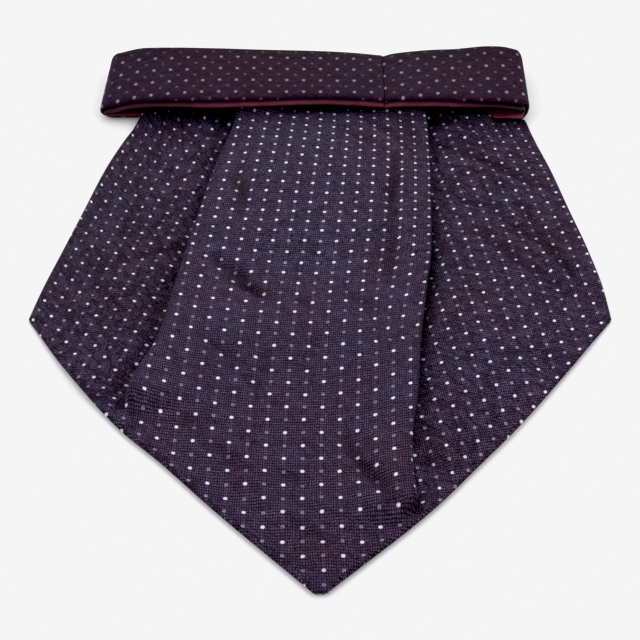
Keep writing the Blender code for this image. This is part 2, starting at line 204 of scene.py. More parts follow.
RIGHT_CREASES = [
    (36.5, 187, 53.5, 176, 2.2, 1), (36.8, 177, 66.5, 157, 1.9, -0.9), (41, 165, 58, 155.5, 2.6, 0.9),
    (38.5, 151.5, 52.5, 142, 1.8, -0.75), (52.5, 142, 71, 116.5, 1.8, -0.9), (44, 150, 60, 136, 2, 0.4),
    (58.5, 147, 73.5, 104, 1.7, -0.6), (43.5, 137, 66, 110, 1.7, -0.7), (55.5, 143, 70.5, 110, 1.8, 0.45),
    (40, 94, 50, 66, 7, 0.7), (26.5, 54.5, 30.5, 47, 1.4, -0.6), (25.5, 45.5, 29.5, 38, 1.4, -0.6),
    (28, 51, 33, 42, 1.6, 0.5), (62.5, 128, 74, 98, 1.6, 0.4), (36, 118, 48, 100, 2.2, -0.3),
    (52, 84, 62, 74, 2, -0.25),
]
LEFT_CREASES = [
    (-56, 120.5, -40, 126, 2.4, -0.55), (-53.5, 157, -56, 131, 2, -0.45), (-49, 181, -51.5, 160, 2, -0.4),
    (-45, 172, -48, 140, 2, 0.4), (-39, 187, -30, 189, 3, 0.5), (-69.5, 88, -55, 67, 3, 0.35),
    (-48.5, 112, -44, 84, 2.4, -0.4), (-62, 112, -50, 88, 2.2, -0.35), (-58, 118, -52, 100, 2.2, 0.35),
    (-66, 128, -60, 106, 2, -0.35), (-43, 150, -47, 132, 1.8, -0.35),
]
BAND_CREASES = [
    (-48, 214, -34, 198, 2.6, -0.22), (-12, 212, 8, 198, 2.8, -0.2), (-30, 217, -18, 204, 2.4, 0.18),
    (24.5, 216, 23, 196, 1.8, -0.2), (34, 214, 44, 200, 2.6, -0.2), (10, 216, 16, 206, 2.2, 0.18),
]
CREASED = 1.7
CREASE_WANDERS = 0.5
CREASE_TURNS = 5.0
CREASE_AT_ENDS = 0.45
CREASES_END = 190.0  # the apron is plain where the neckband covers it
CREASES_FADE = 12.0
TROUGH_GAIN = 1.4
HEM_CALM = 5.0
FOLD_CALM = 3.5
FOLD_STILL = 0.1
FOLD_CREASED = 0.35
DEEPEST = -0.45  # on a side panel, whose underside stays on the table
LEAST_WALL = 0.7
# The lower hems curl up a little, and every hem is round
HEM_LIFT = 0.5
HEM_LIFT_WIDTH = 6.0
HEM_LIFT_ENDS = 12.0
HEM_ROUND = 0.8
ROLLS_DOWN = 0.45
ROLLS_UP = 0.35

# Small puckers: distance from the point, and their height on the left, middle and right panels
PUCKERS = [
    (0, 0.10, 0.16, 0.10), (45, 0.16, 0.15, 0.13), (75, 0.19, 0.09, 0.09), (120, 0.19, 0.10, 0.13),
    (165, 0.14, 0.08, 0.17), (190, 0.08, 0.10, 0.12),
]
PUCKERED = 3.0
PUCKER_SLANT = (0.52, 0.21)
PUCKER_BEND = 0.23
PUCKER_BENDS = 1.3
PUCKER_CROSS = (0.55, 0.4)
PUCKER_MIX = (1.05, 0.675)

# Painted sheen, where more of the burgundy threads shows (above 0) or of the navy ones: place, distance from
# point, size
SHEEN_BLUSHES = [
    (30, 100, 5, 0.5), (31.5, 140, 4, 0.5), (27, 60, 4, 0.4), (14, 38, 8, 0.5), (-50, 118, 13, 0.25),
    (-5, 42, 24, 0.3), (22, 180, 9, 0.6), (27, 165, 5, 0.4), (36.5, 170, 4, -0.5), (50, 168, 9, 0.9),
    (64, 130, 9, 0.6), (57, 151, 5, -0.45), (66, 152, 4, 0.4), (-18, 110, 8, 0.25), (0, 10, 12, 0.3),
    (-5, 128, 16, -0.35), (44, 80, 14, -0.35), (48, 181, 5, -0.5), (48, 160, 4, -0.4),
    (-34, 188, 6, -0.4),
]
# More burgundy in the creases' troughs, as painted shade
TROUGH_SHADE_BLUSH = 0.8
BAND_BLUSH = 0.35
# A patch of painted sheen on the neckband
BAND_SHEEN_BLUSHES = [(-10.0, 200.0, 15.0, 0.25)]

# How light the cloth is, as painted light and shade: distance from the point, then the left, middle and right
# panels. It is painted dark beside the neckband, as the neckband's shadow.
PAINTED_TONES = [
    (0, 0.78, 0.74, 0.84), (40, 0.80, 0.88, 0.87), (100, 0.83, 0.90, 0.90), (170, 0.81, 0.86, 0.85),
    (184, 0.71, 0.79, 0.75), (189, 0.52, 0.60, 0.56), (192.5, 0.22, 0.24, 0.26), (195, 0.1, 0.1, 0.1),
]
# Painted shade in the grooves beside the folds: distance from the point, their width, how light the left and
# the right one are
GROOVE_SHADES = [
    (40, 2, 1, 1), (62, 3.5, 0.85, 0.4), (85, 4.4, 0.75, 0.12), (110, 5, 0.75, 0.03), (140, 4, 0.8, 0.12),
    (165, 1.8, 0.88, 0.35), (190, 1.5, 0.9, 0.5),
]
# Painted shade where the cloth turns under itself, beyond the pleat's start, where it starts to turn, and in
# the creases' troughs
TURNED_SHADE = 0.4  # where the cloth turns under itself
TURNED_SHADE_FROM = 3.0  # beyond the pleat's start
EDGE_SHADE = 0.8  # where it starts to turn
TURNED = -1.0  # in the place of the fault's value, as it has no dots there
TROUGH_SHADE = 0.42
BAND_TONE = 0.8
CRINKLED = (1.0, 0.35, 0.85)  # on the left, middle and right panels
BAND_CRINKLED = 0.3

WHITE = (0.88, 0.80, 0.92, 1.0)
DIM_WHITE = (0.27, 0.24, 0.33, 1.0)
BAND_DOT = (0.36, 0.27, 0.34, 1.0)
BAND_DIM_DOT = (0.14, 0.09, 0.135, 1.0)
NAVY = (0.040, 0.031, 0.069, 1.0)
BURGUNDY = (0.054, 0.0245, 0.051, 1.0)
# Painted shade in the fine crinkles
CRINKLE_SHADE = (0.026, 0.009, 0.021, 1.0)
BAND_NAVY = (0.024, 0.0115, 0.034, 1.0)
BAND_BURGUNDY = (0.034, 0.0085, 0.025, 1.0)
LILAC = (0.13, 0.105, 0.165, 1.0)
LINING = (0.088, 0.020, 0.034, 1.0)
LINING_DARK = (0.058, 0.013, 0.023, 1.0)
TABLE = (0.90, 0.90, 0.905, 1.0)
TABLE_SHADE = (0.885, 0.885, 0.895, 1.0)
TABLE_SIZE = 6.0
TABLE_AT = (0.0, 0.8, -0.00005)
SILK = {
    "Roughness": 0.68,
    "Specular IOR Level": 0.06,
    "Sheen Weight": 0.01,
    "Sheen Roughness": 0.35,
    "Sheen Tint": (0.75, 0.7, 0.9, 1.0),
}
SATIN = {
    "Roughness": 0.5,
    "Specular IOR Level": 0.15,
    "Sheen Weight": 0.03,
    "Sheen Tint": (1.0, 0.6, 0.65, 1.0),
}
TABLE_TOP = {"Roughness": 0.75, "Specular IOR Level": 0.1}

# The basket weave's cells from one dot to the next
CELLS_ACROSS = 8.0
CELLS_ALONG = 5.0
# The cloth's patches, warp, weft, grain and wrinkles: their cells from one dot to the next, across and
# along, and their detail
NOISES = [
    (0.3, 0.3, 3), (CELLS_ACROSS, 1.1, 2), (1.1, CELLS_ALONG, 2), (11, 11, 1), (1.7, 1.7, 4),
]
UNEVEN_THREADS = 0.16
# How much burgundy shows: by the weave, by patches and by uneven threads, and where all is navy or burgundy
WEAVE_SHARE = 0.3
PATCH_CONTRAST = 2.2
PATCH_SHARE = 0.8
THREAD_SHARE = 0.6
ALL_NAVY = -0.35
ALL_BURGUNDY = 0.95
SLUBBED = (0.48, 0.76)  # from which noise on a thread is thick and pale, and from which it is fully so
WEFT_SLUBS = 0.9
SLANT = (0.85, 0.4)  # of the fine dark crinkles: how close they are, and how short
CRINKLE_WIDTH = 0.07
# How much of the painted shade the fine crinkles get
CRINKLE_SHADE_SHARE = 0.75
EVENS_OUT = 0.73  # makes up for the dark between round threads
MEAN_SHADE = 0.9
GRAIN_SHADE = 2.8
CRINKLED_SHADE = 1.6
# Painted shade in the puckers' hollows
WRINKLE_SHADE = (0.4, 1.1)
# Bumps of the cloth, small and large
BUMP = 0.8
THREAD_DEPTH = 0.16 * MM
GRAIN_HEIGHT = 0.4
DOT_HEIGHT = 0.8
PUCKER_DEPTH = 0.9 * MM
PLAIN_PUCKERS = 0.7
CRINKLED_PUCKERS = 0.9
CRINKLE_DEPTH = 0.6

# The middle panel's white and dim dots change places beyond this row, and right of the column beyond the
# other row
FAULT_ROW = -22.5
FAULT_COLUMN = 3.5
RIGHT_FAULT_ROW = -25.3
# As shares of the dots' spacing
DOT_RADIUS = 0.108
DIM_RADIUS = 0.10
DOT_EDGE = 0.03
BAND_DOT_RADIUS = 0.125
BAND_DOT_EDGE = 0.07
RAGGED = 0.05
HOLLOW = (0.015, 0.05)  # the dark middle of a dim dot
LINE = (0.09, 0.03)  # paler threads along each column of dots
LINE_SHARE = 0.75
# From which noise a line's threads and a dim dot's grain show, and from which they are fully there
LINE_THREADS = (0.3, 0.7)
DIM_GRAIN = (0.15, 0.5)

# How near the dim dots come to white: on the middle panel they grow brighter towards the neckband
MIDDLE_DIM = 0.75
DIM_RISES_FROM = 95.0
DIM_RISES_OVER = 55.0
SIDE_DIM = 0.15
BAND_DIM = 0.2

# Painted shade where the neckband's silk turns away at the far edge: from where, over how much, and how much
# darker
BAND_FAR_SHADE = (212.0, 8.0, 0.3)
# The lining has a painted shine in the middle and painted shade where it turns over at the ends: where the
# shine starts and over how much on each side, how light its shaded ends are, left and right, and its shine
PAINTED_SHINE_LEFT = (-54.0, 28.0)
PAINTED_SHINE_RIGHT = (54.0, 20.0)
SHADED_ENDS = (0.42, 0.24)
PAINTED_SHINE = 1.27
# Painted shade where the lining turns over, and over how much of the turn; painted light inside the turns,
# left and right, and from where
TURN_SHADE = 0.5
TURN_PAINT_OVER = 0.8
INSIDE_LIGHT = (0.8, 1.7)
INSIDE_LIGHT_FROM = 1.8
SATIN_RIBS = 60.0

# Soft studio light: name, azimuth from behind (to the left above 0), degrees from overhead, strength
DOME = 0.5
DOME_COLOUR = (0.985, 0.99, 1.0, 1.0)
WINDOW_WIDTH = 60.0
WINDOWS = [
    ("window_behind", 0.0, 52.0, 1.7),
    ("window_left", 95.0, 52.0, 1.35),
    ("window_right", -95.0, 52.0, 1.25),
]

FILM_BLACK = 0.008
FILM_CURVE = [(0.5, 0.5), (0.8, 0.79)]
FILM_TOP = (1.0, 0.914)

CAMERA_AT = (0.0, -0.37074, 0.30397)
CAMERA_TILT = 49.5
CAMERA_LENS = 96.98
SENSOR = 36.0


def smooth(at):
    at = np.clip(at, 0.0, 1.0)
    return at * at * (3 - 2 * at)


def read(table, at, column):
    """A table's column at a place between its rows, on a smooth curve that never overshoots a row."""
    rows = [(row[0], row[column]) for row in table]
    if at <= rows[0][0]:
        return rows[0][1]
    if at >= rows[-1][0]:
        return rows[-1][1]
    slopes = [(b[1] - a[1]) / (b[0] - a[0]) for a, b in zip(rows, rows[1:])]
    tangents = [slopes[0]]
    for before, after in zip(slopes, slopes[1:]):
        tangents.append(0.0 if before * after <= 0 else 2 * before * after / (before + after))
    tangents.append(slopes[-1])
    k = max(i for i, row in enumerate(rows[:-1]) if row[0] <= at)
    span = rows[k + 1][0] - rows[k][0]
    t = (at - rows[k][0]) / span
    rise = t * t * (3 - 2 * t)
    return (
        rows[k][1] * (1 - rise)
        + rows[k + 1][1] * rise
        + span * tangents[k] * t * (1 - t) ** 2
        - span * tangents[k + 1] * t * t * (1 - t)
    )


def columns_at(table, at):
    """The table's three columns, each at a whole grid of places."""
    return [np.array([[read(table, place, k) for place in row] for row in at]) for k in (1, 2, 3)]


def extend(table, at, column):
    """As read(), but beyond the table's ends it goes on straight."""
    if at < table[0][0]:
        near, far, edge = table[0], table[1], table[0]
    elif at > table[-1][0]:
        near, far, edge = table[-2], table[-1], table[-1]
    else:
        return read(table, at, column)
    return edge[column] + (at - edge[0]) * (far[column] - near[column]) / (far[0] - near[0])


def lattice_row(table, column, at):
    """How the dots lie along one section: a function from a place across to the two lattice coordinates."""
    x0, row, spacing, rise, bow = (extend(table, at, k) for k in range(1, 6))

    def lattice(x):
        from_column = (x - x0) / 10.0
        return (column + (x - x0) / spacing, row + rise * from_column + bow * from_column**2)

    return lattice


def middle_lattice(at):
    """As lattice_row(), for the middle panel, whose columns lean where the right fold draws the cloth in."""
    plain = lattice_row(MIDDLE_DOTS, MIDDLE_COLUMN, at)
    centre = extend(MIDDLE_DOTS, at, 1)
    lean = read(LEAN, at, 1)
    drawn = FOLD_DRAWS * smooth((at - FOLD_DRAWS_ABOVE) / FOLD_DRAWS_OVER)

    def lattice(x):
        column, row = plain(x)
        if x < centre:
            column = column / LEFT_WIDENS
        column += lean * smooth((x - LEANS_FROM) / LEANS_OVER) + drawn * max(0.0, x - FOLD_DRAWS_FROM)
        return column, row

    return lattice


def edge_of_apron(at, column):
    return read(HEM if at <= HEM[-1][0] else SIDES, at, column)


def lining_edge(x):
    return read(LOWER, x, 1) - LINING_PROUD


def ground(x, at):
    """How high the apron is carried: on the table, or up on the neckband's lower layer."""
    top = lining_edge(x) - CLIMB_CLEAR
    climbed = smooth((at - top + CLIMB_LENGTH) / CLIMB_LENGTH)
    return CLIMB * climbed * (1 - smooth((x - TONGUE_EDGE) / CORNER_FALL))


def crease_height(creases, x, at):
    """The height that the creases add at places given as arrays."""
    total = np.zeros_like(x)
    for x0, at0, x1, at1, width, height in creases:
        along = np.array([x1 - x0, at1 - at0])
        length = np.hypot(*along)
        t = np.clip(((x - x0) * along[0] + (at - at0) * along[1]) / length**2, 0, 1)
        off_line = ((x - x0) * along[1] - (at - at0) * along[0]) / length
        wander = CREASE_WANDERS * width * np.sin(t * CREASE_TURNS + x0)
        beside = off_line - wander * np.sin(math.pi * t)
        past = np.hypot(x - x0 - t * along[0], at - at0 - t * along[1]) ** 2
        away = beside**2 + np.maximum(past - off_line**2, 0)
        strength = CREASE_AT_ENDS + (1 - CREASE_AT_ENDS) * np.sin(math.pi * t)
        total += height * strength * np.exp(-away / width**2)
    return total


def pucker(u, v):
    """Short wrinkles that run down to the right across the lattice, about two dots apart, from -1 to 1."""
    bend = noise.noise(Vector((u * PUCKER_BEND, v * PUCKER_BEND, 7.0)))
    across = (u - v) * PUCKER_SLANT[0] + PUCKER_BENDS * bend
    first = noise.noise(Vector((across, (u + v) * PUCKER_SLANT[1], 0.0)))
    second = noise.noise(Vector((u * PUCKER_CROSS[0], v * PUCKER_CROSS[1], 3.0)))
    return PUCKER_MIX[0] * first + PUCKER_MIX[1] * second


def material(name, base, values):
    made = bpy.data.materials.new(name)
    made.use_nodes = True
    shader = made.node_tree.nodes["Principled BSDF"]
    shader.inputs["Base Color"].default_value = base
    for socket, value in values.items():
        shader.inputs[socket].default_value = value
    return made, shader


class Nodes:
    """Short words for making a material's nodes."""

    def __init__(self, made):
        self.tree = made.node_tree

    def put(self, socket, value):
        if isinstance(value, (int, float)):
            socket.default_value = value
        elif isinstance(value, tuple):
            socket.default_value = value[: len(socket.default_value)]
        else:
            self.tree.links.new(value, socket)

    def make(self, kind, inputs, output=0, **settings):
        """A new node with its settings and inputs. Returns one of its outputs."""
        node = self.tree.nodes.new("ShaderNode" + kind)
        for setting, value in settings.items():
            setattr(node, setting, value)
        for socket, value in inputs.items():
            self.put(node.inputs[socket], value)
        return node.outputs[output]

    def math(self, operation, *values):
        return self.make("Math", dict(enumerate(values)), operation=operation)

    def plus(self, total, *others):
        for other in others:
            total = self.math("ADD", total, other)
        return total

    def times(self, total, *others):
        for other in others:
            total = self.math("MULTIPLY", total, other)
        return total

    def minus(self, a, b):
        return self.math("SUBTRACT", a, b)

    def step(self, value, low, high):
        """0 below low and 1 above high, smooth between. Low may be the larger."""
        inputs = {"Value": value, "From Min": low, "From Max": high}
        return self.make("MapRange", inputs, interpolation_type="SMOOTHSTEP")

    def mix(self, share, a, b, blend="MIX"):
        return self.make("Mix", {"Factor": share, 6: a, 7: b}, 2, data_type="RGBA", blend_type=blend)

    def shaded(self, colour, shade):
        """The colour multiplied by a grey."""
        grey = self.make("CombineColor", {channel: shade for channel in range(3)})
        return self.mix(1.0, colour, grey, "MULTIPLY")

    def attribute(self, name, output="Vector"):
        return self.make("Attribute", {}, output, attribute_name=name)

    def part(self, vector, k):
        return self.make("SeparateXYZ", {0: vector}, k)

    def noise(self, place, scale, detail=2.0):
        return self.make("TexNoise", {"Vector": place, "Scale": scale, "Detail": detail}, "Fac")

    def scaled(self, place, x, y):
        return self.make("VectorMath", {0: place, 1: (x, y, 1.0)}, operation="MULTIPLY")

    def bump(self, height, distance, strength, normal=None):
        inputs = {"Strength": strength, "Distance": distance, "Height": height}
        if normal is not None:
            inputs["Normal"] = normal
        return self.make("Bump", inputs)


class Cloth:
    """What the silk's nodes read: its place in the lattice, its attributes and its noises."""

    def __init__(self, n):
        lattice = n.attribute("lattice")
        self.u, self.v, self.brighter = (n.part(lattice, k) for k in range(3))
        values = n.attribute("cloth")
        self.faulted, self.tone, self.crinkled = (n.part(values, k) for k in range(3))
        self.blush = n.attribute("blush", "Fac")
        noises = [n.noise(n.scaled(lattice, across, along), 1.0, detail) for across, along, detail in NOISES]
        self.patches, self.warp, self.weft, self.grain, self.wrinkles = noises


def weave(n, u, v):
    """A basket weave: (which cells show the first threads, how high the threads stand in their cells)."""
    across = n.times(u, CELLS_ACROSS)
    along = n.times(v, CELLS_ALONG)
    square = n.plus(n.math("FLOOR", across), n.math("FLOOR", along))
    first = n.math("PINGPONG", square, 1.0)
    rounds = [n.math("SINE", n.times(n.math("FRACT", place), math.pi)) for place in (across, along)]
    return first, n.math("SQRT", n.times(*rounds))


def crinkle_lines(n, cloth):
    """Fine crinkles that run down to the right, as strong as the cloth is crinkled: painted shade and a dent.
    """
    across = n.times(n.minus(cloth.u, cloth.v), SLANT[0])
    along = n.times(n.plus(cloth.u, cloth.v), SLANT[1])
    slanted = n.make("CombineXYZ", {0: across, 1: along})
    folded = n.math("ABSOLUTE", n.minus(n.noise(slanted, 1.0, 3.0), 0.5))
    return n.times(n.step(folded, CRINKLE_WIDTH, 0.0), cloth.crinkled)


def shot_colour(n, cloth, first, navy, burgundy):
    """The silk's colour, between that of its two kinds of threads."""
    patches = n.plus(n.times(n.minus(cloth.patches, 0.5), PATCH_CONTRAST), cloth.blush)
    threads = n.minus(cloth.weft, cloth.warp)
    share = n.plus(n.times(first, WEAVE_SHARE), n.times(patches, PATCH_SHARE))
    share = n.plus(share, n.times(threads, THREAD_SHARE))
    return n.mix(n.step(share, ALL_NAVY, ALL_BURGUNDY), navy, burgundy)


def thread_shade(n, cloth, height, depth):
    """How light the threads are: painted shade between them and in the puckers' hollows, uneven, the more so
    where the cloth is crinkled.
    """
    threads = n.times(n.math("POWER", height, depth), 1 + EVENS_OUT * depth)
    contrast = n.plus(GRAIN_SHADE, n.times(cloth.crinkled, CRINKLED_SHADE))
    grainy = n.plus(MEAN_SHADE, n.times(n.minus(cloth.grain, 0.5), contrast))
    wrinkled = n.plus(WRINKLE_SHADE[0], n.times(cloth.wrinkles, WRINKLE_SHADE[1]))
    return n.times(threads, grainy, wrinkled)


def dot_masks(n, cloth, radius, edge):
    """Where the white dots, the dim dots and the columns' lines are."""
    column = n.math("ROUND", cloth.u)
    row = n.math("ROUND", cloth.v)
    beside = n.minus(cloth.u, column)
    below = n.minus(cloth.v, row)
    away = n.math("SQRT", n.plus(n.math("POWER", beside, 2.0), n.math("POWER", below, 2.0)))
    away = n.plus(away, n.times(n.minus(cloth.grain, 0.5), RAGGED))
    on_right = n.math("GREATER_THAN", cloth.u, FAULT_COLUMN)
    fault = n.plus(FAULT_ROW, n.times(on_right, RIGHT_FAULT_ROW - FAULT_ROW))
    swapped = n.math("ROUND", n.times(cloth.faulted, n.math("LESS_THAN", cloth.v, fault)))
    odd = n.math("PINGPONG", n.plus(column, row, swapped), 1.0)
    dotted = n.step(cloth.faulted, TURNED, 0.0)
    white = n.times(n.step(away, radius + edge, radius - edge), n.minus(1.0, odd), dotted)
    hollow = n.math("MAXIMUM", n.step(away, *HOLLOW), cloth.brighter)
    dim = n.times(n.step(away, DIM_RADIUS + edge, DIM_RADIUS - edge), hollow)
    dim = n.times(dim, n.step(cloth.grain, *DIM_GRAIN), odd, dotted)
    line = n.times(n.step(n.math("ABSOLUTE", beside), *LINE), n.step(cloth.warp, *LINE_THREADS))
    return white, dim, line


def silk_material(name, navy, burgundy, dots, radius=DOT_RADIUS, edge=DOT_EDGE, slubs=0.3, depth=1.7):
    """Shot silk: navy threads one way, burgundy the other, in a fine basket weave.

    dots is the colours of its white and its dim dots, or None. depth is that of the dark between threads.
    """
    made, shader = material(name, navy, SILK)
    n = Nodes(made)
    cloth = Cloth(n)
    crinkle = crinkle_lines(n, cloth)
    weft, warp = (n.times(n.minus(thread, 0.5), UNEVEN_THREADS) for thread in (cloth.weft, cloth.warp))
    first, height = weave(n, n.plus(cloth.u, weft), n.plus(cloth.v, warp))
    weft_slubs = n.times(n.step(cloth.weft, *SLUBBED), WEFT_SLUBS)
    slub = n.math("MAXIMUM", n.step(cloth.warp, *SLUBBED), weft_slubs)
    colour = shot_colour(n, cloth, first, navy, burgundy)
    colour = n.mix(n.times(slub, slubs), colour, LILAC)
    # Painted shade in the fine crinkles
    colour = n.mix(n.times(crinkle, CRINKLE_SHADE_SHARE), colour, CRINKLE_SHADE)
    colour = n.shaded(colour, thread_shade(n, cloth, height, depth))
    if dots is not None:
        white_dot, dim_dot = dots
        white, dim, line = dot_masks(n, cloth, radius, edge)
        colour = n.mix(n.times(line, LINE_SHARE * slubs), colour, LILAC)
        colour = n.mix(dim, colour, n.mix(cloth.brighter, dim_dot, white_dot))
        colour = n.mix(white, colour, white_dot)
        height = n.plus(height, n.times(white, DOT_HEIGHT))
    # The tone is painted light and shade
    n.put(shader.inputs["Base Color"], n.shaded(colour, cloth.tone))

    puckers = n.times(cloth.wrinkles, n.plus(PLAIN_PUCKERS, n.times(cloth.crinkled, CRINKLED_PUCKERS)))
    coarse = n.bump(n.minus(puckers, n.times(crinkle, CRINKLE_DEPTH)), PUCKER_DEPTH, BUMP)
    raised = n.plus(height, slub, n.times(cloth.grain, GRAIN_HEIGHT))
    n.put(shader.inputs["Normal"], n.bump(raised, THREAD_DEPTH, BUMP, coarse))
    return made


def satin_material(name):
    """The burgundy lining: fine satin ribs along the neckband."""
    made, shader = material(name, LINING, SATIN)
    n = Nodes(made)
    lattice = n.attribute("lattice")
    ribs = n.math("SINE", n.times(n.part(lattice, 0), SATIN_RIBS))
    soft = n.noise(lattice, 1.2, 3.0)
    colour = n.mix(n.step(soft, 0.3, 0.7), LINING_DARK, LINING)
    # Painted shine and shade of the lining
    tone = n.part(n.attribute("cloth"), 1)
    n.put(shader.inputs["Base Color"], n.shaded(colour, tone))
    coarse = n.bump(soft, 0.5 * MM, 0.7)
    n.put(shader.inputs["Normal"], n.bump(ribs, 0.03 * MM, 0.6, coarse))
    return made


def add_object(name, data):
    made = bpy.data.objects.new(name, data)
    bpy.context.scene.collection.objects.link(made)
    return made


def closed_faces(rows, columns, keep):
    """The faces of a closed wall between two grids of points, and how many are on each of its two sides."""
    r, c = np.meshgrid(np.arange(rows - 1), np.arange(columns - 1), indexing="ij")
    if keep is not None:
        r, c = r[keep], c[keep]
    behind = rows * columns
    corner = (r * columns + c).ravel()
    ring = np.stack([corner, corner + 1, corner + columns + 1, corner + columns], 1)
    edges = np.concatenate([ring[:, [k, (k + 1) % 4]] for k in range(4)])
    pairs = {tuple(e) for e in edges.tolist()}
    rim = [(b, a, a + behind, b + behind) for a, b in sorted(pairs) if (b, a) not in pairs]
    return np.concatenate([ring, ring[:, ::-1] + behind, np.array(rim)]), len(ring)


def wall(name, face, back, lattice, blush, cloth, surfaces, keep=None):
    """A closed smooth wall between two grids of points in millimetres, its back in the second material."""
    rows, columns = face.shape[:2]
    faces, on_side = closed_faces(rows, columns, keep)
    used = np.unique(faces)
    place = np.zeros(2 * rows * columns, int)
    place[used] = np.arange(len(used))
    points = np.concatenate([face.reshape(-1, 3), back.reshape(-1, 3)])
    scaled = (points - [0, LENGTH / 2, 0]) * MM
    mesh = bpy.data.meshes.new(name)
    mesh.from_pydata(scaled[used].tolist(), [], place[faces].tolist())
    for surface in surfaces:
        mesh.materials.append(surface)
    in_back = np.zeros(len(faces), np.int32)
    if len(surfaces) > 1:
        in_back[on_side : 2 * on_side] = 1
    mesh.polygons.foreach_set("material_index", in_back)
    mesh.polygons.foreach_set("use_smooth", np.ones(len(faces), bool))
    for attribute, kind, field, grid in (
        ("lattice", "FLOAT_VECTOR", "vector", lattice),
        ("cloth", "FLOAT_VECTOR", "vector", cloth),
        ("blush", "FLOAT", "value", blush),
    ):
        values = np.concatenate([grid.reshape(rows * columns, -1)] * 2)[used].astype(np.float32)
        mesh.attributes.new(attribute, kind, "POINT").data.foreach_set(field, values.ravel())
    mesh.update()
    return add_object(name, mesh)


def pleat_steps(run, turned):
    """A pleat from its fold inwards and out again: the length of each step and how much it turns."""
    quarter = (math.pi / 2 * PLEAT_RADIUS / QUARTER_CELLS, turned / 2 / QUARTER_CELLS)
    drop = (PLEAT_DROP / DROP_CELLS, 0.0)
    back_again = (quarter[0], -quarter[1])
    steps = [quarter] * QUARTER_CELLS + [drop] * DROP_CELLS + [quarter] * QUARTER_CELLS
    steps += [(run / RETURN_CELLS, 0.0)] * RETURN_CELLS
    return steps + [back_again] * QUARTER_CELLS + [drop] * DROP_CELLS + [back_again] * QUARTER_CELLS


def walk(out, steps):
    """The way that the steps take: (place, height, lean, way walked) at each of its points."""
    height, lean, walked = 0.0, 0.0, 0.0
    path = [(out, height, lean, walked)]
    for length, turn in steps:
        out += length * math.cos(lean + turn / 2)
        height -= length * math.sin(lean + turn / 2)
        lean += turn
        walked += length + turn * CLOTH / 2
        path.append((out, height, lean, walked))
    return path


def half_section(at, side, pleat, column, middle_dots, side_dots):
    """A half section, from the fold in the middle outwards.

    Each point is (face place, face height, back place, back height, lattice pair, panel). The turned cloth
    and its edge have no creases.
    """
    edge = side * edge_of_apron(at, column)
    in_hem = FOLD_AT_POINT + (pleat["in_hem"] - FOLD_AT_POINT) * smooth(at / FOLD_SETTLES)
    fold = min(side * read(FOLDS, at, column), in_hem * edge)
    opened = smooth((at - pleat["starts"]) / (pleat["turned"] - pleat["starts"]))
    grown = (at - pleat["turned"]) / (PLEAT_FULL_AT - pleat["turned"])
    run = max(pleat["depth"] * min(1.0, grown), LEAST_RUN)
    steps = pleat_steps(run, math.pi * opened)
    if not opened:
        cell = (edge - fold) / (len(steps) + UNDER_CELLS + SIDE_CELLS)
        steps = [(cell, 0.0)] * len(steps)
    path = walk(fold - (PLEAT_RADIUS + CLOTH / 2 if opened else 0.0), steps)
    start = path[0][0]
    out, height, _, walked = path[-1]
    lift = ground(side * out, at) + CLOTH / 2 - height

    def side_lattice(place):
        own, middle = side_dots(side * place), middle_dots(side * place)
        return tuple(m + (o - m) * opened for o, m in zip(own, middle))

    surplus = [b - a for a, b in zip(middle_dots(side * (start + walked)), side_lattice(out))]
    points = []
    for place, height, lean, so_far in path:
        across = math.sin(lean) * CLOTH / 2
        up = math.cos(lean) * CLOTH / 2
        pair = side_lattice(place)
        if opened:
            share = smooth((so_far / walked - HIDDEN_FROM) / (1 - 2 * HIDDEN_FROM))
            pair = middle_dots(side * (start + so_far))
            pair = tuple(own + more * share for own, more in zip(pair, surplus))
        part = FOLD_EDGE if lean < FOLD_EDGE_LEANS and so_far < walked / 2 else TURNED_UNDER
        points.append((place + across, height + lift + up, place - across, height + lift - up, pair, part))
    shown = out + (edge - out) * UNDER_CELLS / (UNDER_CELLS + SIDE_CELLS)
    if opened:
        shown = max(fold + SEAM_GAP, shown)
    places = [out + (shown - out) * k / UNDER_CELLS for k in range(1, UNDER_CELLS + 1)]
    places += [shown + (edge - shown) * share for share in crowded(SIDE_CELLS)]
    puffed = read(PUFF, at, column)
    for place in places:
        carried = ground(side * place, at)
        share = max(0.0, (place - shown) / (edge - shown))
        puff = puffed * (1 - math.cos(2 * math.pi * share)) / 2
        puff += read(BANK, place - fold, 1) * read(BANK_ALONG, at, 1) * opened
        points.append((place, carried + CLOTH + puff, place, carried, side_lattice(place), side))
    return points


def crowded(cells):
    """Shares of a width, from above 0 to 1, that crowd together at the end so that an edge can be round."""
    spread = [(k + 1) / (cells - 3) * (1 - ROUND_EDGE[-1]) for k in range(cells - 4)]
    return spread + [1 - share for share in reversed(ROUND_EDGE[:-1])]


def middle_points(at, left, right, middle_dots):
    """The middle panel's points between its folds. Its underside clears the pleats' turned cloth."""
    x_left, x_right = -left[0][0], right[0][0]
    left_in, right_in = (min(min(p[0], p[2]) for p in half) for half in (left, right))
    reach = min(FOLD_REACH, (x_right - x_left) * LARGEST_REACH)
    top, under = read(MIDDLE, at, 1), read(MIDDLE, at, 2)
    points = []
    for k in range(1, MIDDLE_CELLS):
        x = x_left + (x_right - x_left) * k / MIDDLE_CELLS
        from_left = smooth(1 - (x - x_left) / reach)
        from_right = smooth(1 - (x_right - x) / reach)
        own = 1 - from_left - from_right
        upper = top * own + left[0][1] * from_left + right[0][1] * from_right
        lower = under * own + left[0][3] * from_left + right[0][3] * from_right
        on_left = left[0][3] * smooth(1 - (x + left_in) / OVER_PLEAT_FALL)
        on_right = right[0][3] * smooth(1 - (right_in - x) / OVER_PLEAT_FALL)
        lower = max(lower, on_left, on_right)
        points.append((x, max(upper, lower + CLOTH), x, lower, middle_dots(x), MIDDLE_PANEL))
    return points


